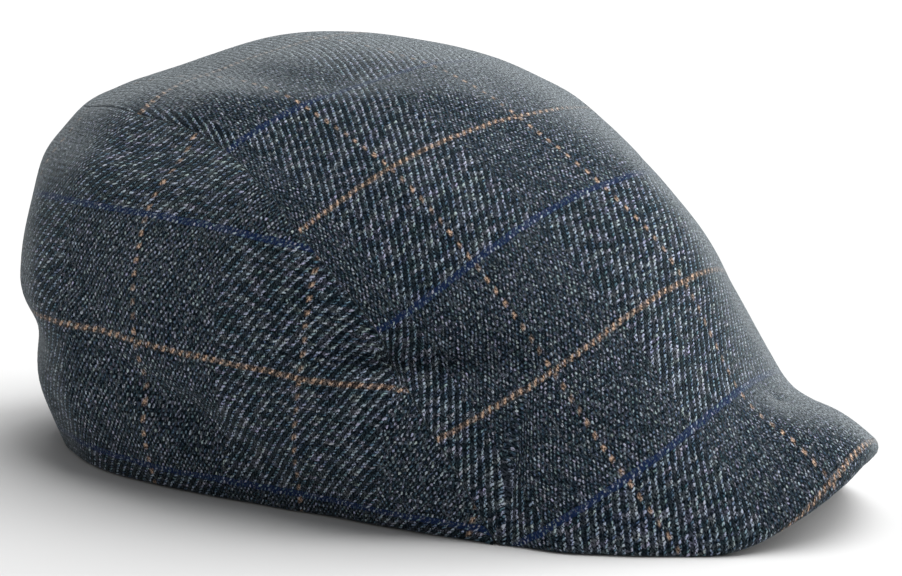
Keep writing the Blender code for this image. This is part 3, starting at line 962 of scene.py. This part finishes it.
def ground(graph, cloth, yarns):
    """Lightness and colour of the yarns without stripes, every float a little different."""
    math = graph.math
    speck = math("MULTIPLY", speck_light(graph, yarns.end, yarns.pick), SPECK_LIGHT)
    rib = math("MULTIPLY", math("MULTIPLY", yarns.weft_shape, yarns.weft_up), RIB_LIGHT)
    light = math("MAXIMUM", graph.blend(yarns.ribbed, speck, rib), GAP_LIGHT)

    repeat = math("FLOOR", math("DIVIDE", yarns.both, TWILL))
    place = graph.join(graph.blend(yarns.ribbed, math("FLOOR", yarns.end), yarns.weft),
                       graph.blend(yarns.ribbed, math("FLOOR", yarns.pick), repeat))
    luck, hue = graph.chance(place)
    slub = graph.noise(cloth, SLUB_SCALE)
    strength = math("MULTIPLY", math("MULTIPLY_ADD", math("MULTIPLY", luck, luck), *FLOAT_LUCK),
                    math("MULTIPLY_ADD", slub, *SLUB))
    lightness = math("MULTIPLY", math("MULTIPLY", light, strength), graph.ramp(yarns.fibres, *TUFT))

    cloud = graph.noise(cloth, CLOUD_SCALE, CLOUD_DETAIL)
    dark = graph.mix(math("MULTIPLY", cloud, yarns.fibres), DARK_YARN, DARK_YARN_TWO)
    tint = graph.vector("MULTIPLY_ADD", hue, (TINT,) * 3, (1 - TINT / 2,) * 3)
    pale = graph.vector("MULTIPLY", graph.mix(luck, PALE_YARN, PALE_YARN_TWO), tint)
    return lightness, graph.mix(lightness, dark, pale)


def overcheck(graph, lightness, colour, yarns):
    """The ground's colour with fine stripes of blue weft, orange weft and orange warp."""
    math = graph.math
    blue_band = is_stripe(graph, math("FLOOR", yarns.pick), 2.0 * PICKS, -BLUE_YARNS / 2, BLUE_YARNS)
    blue = math("MULTIPLY", blue_band, graph.ramp(lightness, *BLUE_SHARE))
    colour = graph.mix(blue, colour, BLUE_YARN)

    across_weft = from_middle(graph, math("SUBTRACT", yarns.pick, HALF_YARN), 2.0 * PICKS)
    weft_mark = math("MULTIPLY", rounded(graph, math("DIVIDE", across_weft, ORANGE_WEFT_HALF)),
                     graph.blend(yarns.weft_up, ORANGE_GAP, rounded(graph, yarns.weft_along)))

    across_warp = from_middle(graph, math("ADD", yarns.end, ENDS / 2 - HALF_YARN), float(ENDS))
    leaned = math("MULTIPLY_ADD", yarns.end, MARK_LEAN, yarns.pick)
    mark_along = from_middle(graph, leaned, TWILL)
    mark_shape = math("MULTIPLY", rounded(graph, math("DIVIDE", across_warp, ORANGE_WARP_HALF)),
                      rounded(graph, math("DIVIDE", mark_along, ORANGE_MARK_HALF)))
    mark_number = math("FLOOR", math("DIVIDE", leaned, TWILL))
    mark_luck = graph.chance(graph.join(yarns.column, mark_number))[0]
    warp_mark = math("MULTIPLY", mark_shape, math("MULTIPLY_ADD", mark_luck, *MARK_LUCK))

    share = graph.ramp(yarns.fibres, *ORANGE_SHARE)
    orange = math("MULTIPLY", math("MAXIMUM", weft_mark, warp_mark), share)
    orange_yarn = graph.mix(graph.ramp(yarns.fibres, *ORANGE_TONE), ORANGE_DEEP, ORANGE_YARN)
    return graph.mix(orange, colour, orange_yarn)


def painted_sheen(graph, colour, fibres):
    """The colour under a painted sheen, lighter where the cloth is seen along its surface and where it
    faces up, as the light falls from above.
    """
    facing = graph.node("ShaderNodeLayerWeight").outputs["Facing"]
    upward = graph.parts(graph.node("ShaderNodeNewGeometry").outputs["Normal"])["Z"]
    # painted sheen at grazing angles, with painted top light where the cloth faces up
    sheen_and_top_light = graph.math("MULTIPLY_ADD", upward, PAINTED_TOP_LIGHT, facing)
    sheen_colour = graph.vector("MULTIPLY", PAINTED_SHEEN_COLOUR, graph.ramp(fibres, *PAINTED_SHEEN_TUFT))
    return graph.mix(graph.ramp(sheen_and_top_light, *PAINTED_SHEEN), colour, sheen_colour)


def tweed(name):
    """2/2 twill in dark and light yarns, with ribbed and speckled squares, fine stripes and a painted
    sheen.
    """
    graph = Graph(name)
    cloth = graph.cloth()
    yarns = lay_yarns(graph, cloth)
    lightness, colour = ground(graph, cloth, yarns)
    colour = overcheck(graph, lightness, colour, yarns)
    # painted sheen and painted top light laid over the yarns' colour
    colour = painted_sheen(graph, colour, yarns.fibres)
    relief = graph.math("MULTIPLY_ADD", yarns.fibres, FIBRE_RELIEF, yarns.height)
    return graph.finish(colour, relief, RELIEF, GLOSS)


def underside_cloth(name):
    """Plain dark cloth, finely woven."""
    graph = Graph(name)
    cloth = graph.cloth()
    threads = []
    for place in graph.parts(cloth)[:2]:
        wave = graph.math("SINE", graph.math("MULTIPLY", place, np.pi / UNDER_THREAD))
        threads.append(graph.math("ABSOLUTE", wave))
    height = graph.math("MAXIMUM", *threads)
    cloud = graph.noise(cloth, UNDER_CLOUD_SCALE, CLOUD_DETAIL)
    colour = graph.mix(graph.math("MULTIPLY", height, cloud), UNDER_DARK, UNDER_PALE)
    return graph.finish(colour, height, UNDER_RELIEF, UNDER_GLOSS)


def plain(name, colour, roughness):
    """A plain matt finish."""
    graph = Graph(name)
    graph.feed(graph.shader.inputs["Base Color"], colour)
    graph.feed(graph.shader.inputs["Roughness"], roughness)
    return graph.material


def camera():
    """The photograph's view of the cap."""
    azimuth, elevation = np.radians(CAMERA_AZIMUTH), np.radians(CAMERA_ELEVATION)
    roll = np.radians(CAMERA_ROLL)
    level = np.array([np.sin(azimuth), -np.cos(azimuth)]) * np.cos(elevation)
    back = Vector((*level, np.sin(elevation)))
    right = Vector((np.cos(azimuth), np.sin(azimuth), 0.0))
    up = back.cross(right)
    turned_right = right * np.cos(roll) + up * np.sin(roll)
    turned_up = up * np.cos(roll) - right * np.sin(roll)
    data = bpy.data.cameras.new("camera")
    data.lens = CAMERA_LENS
    data.shift_x, data.shift_y = CAMERA_SHIFT
    made = bpy.data.objects.new("camera", data)
    turned = Matrix((turned_right, turned_up, back)).transposed().to_4x4()
    made.matrix_world = Matrix.Translation(Vector(CAMERA_TARGET) + back * CAMERA_DISTANCE) @ turned
    bpy.context.scene.collection.objects.link(made)
    bpy.context.scene.camera = made


def area_light(name, place, aim, size, power):
    """A soft square light."""
    data = bpy.data.lights.new(name, "AREA")
    data.size = size
    data.energy = power
    made = bpy.data.objects.new(name, data)
    made.location = place
    made.rotation_euler = (Vector(aim) - Vector(place)).to_track_quat("-Z", "Y").to_euler()
    bpy.context.scene.collection.objects.link(made)


def studio():
    """Pale floor, soft lights and the world's light."""
    bpy.ops.mesh.primitive_plane_add(size=FLOOR_SIZE, location=(0, 0, 0))
    floor = bpy.context.object
    floor.name = "floor"
    floor.data.materials.append(plain("pale_floor", FLOOR_COLOUR, FLOOR_ROUGHNESS))
    area_light("overhead", LIGHT_PLACE, LIGHT_AIM, LIGHT_SIZE, LIGHT_POWER)
    area_light("behind", RIM_LIGHT_PLACE, LIGHT_AIM, RIM_LIGHT_SIZE, RIM_LIGHT_POWER)
    world = bpy.data.worlds.new("studio")
    bpy.context.scene.world = world
    world.use_nodes = True
    tree = world.node_tree
    toward = tree.nodes.new("ShaderNodeTexCoord").outputs["Generated"]
    parts = tree.nodes.new("ShaderNodeSeparateXYZ")
    tree.links.new(toward, parts.inputs[0])
    glow = tree.nodes.new("ShaderNodeMapRange")
    tree.links.new(parts.outputs["Z"], glow.inputs["Value"])
    for name, number in WORLD_GLOW.items():
        glow.inputs[name].default_value = number
    tree.links.new(glow.outputs["Result"], tree.nodes["Background"].inputs["Strength"])
    tree.nodes["Background"].inputs["Color"].default_value = (1.0, 1.0, 1.0, 1.0)
    bpy.context.scene.view_settings.view_transform = "Standard"


def build():
    """Dress the cap and set up the view."""
    camera()
    cloth = tweed("tweed")
    top = top_panel(cloth)
    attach(top, "root")
    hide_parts("top_panel")
    for name, side in (("right", -1), ("left", 1)):
        panel = side_panel("side_cloth_" + name, side, cloth)
        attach(panel, "root")
        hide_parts("side_panel_" + name)
    under = peak(underside_cloth("underside"))
    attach(under, "root")
    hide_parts("peak")
    studio()


build()
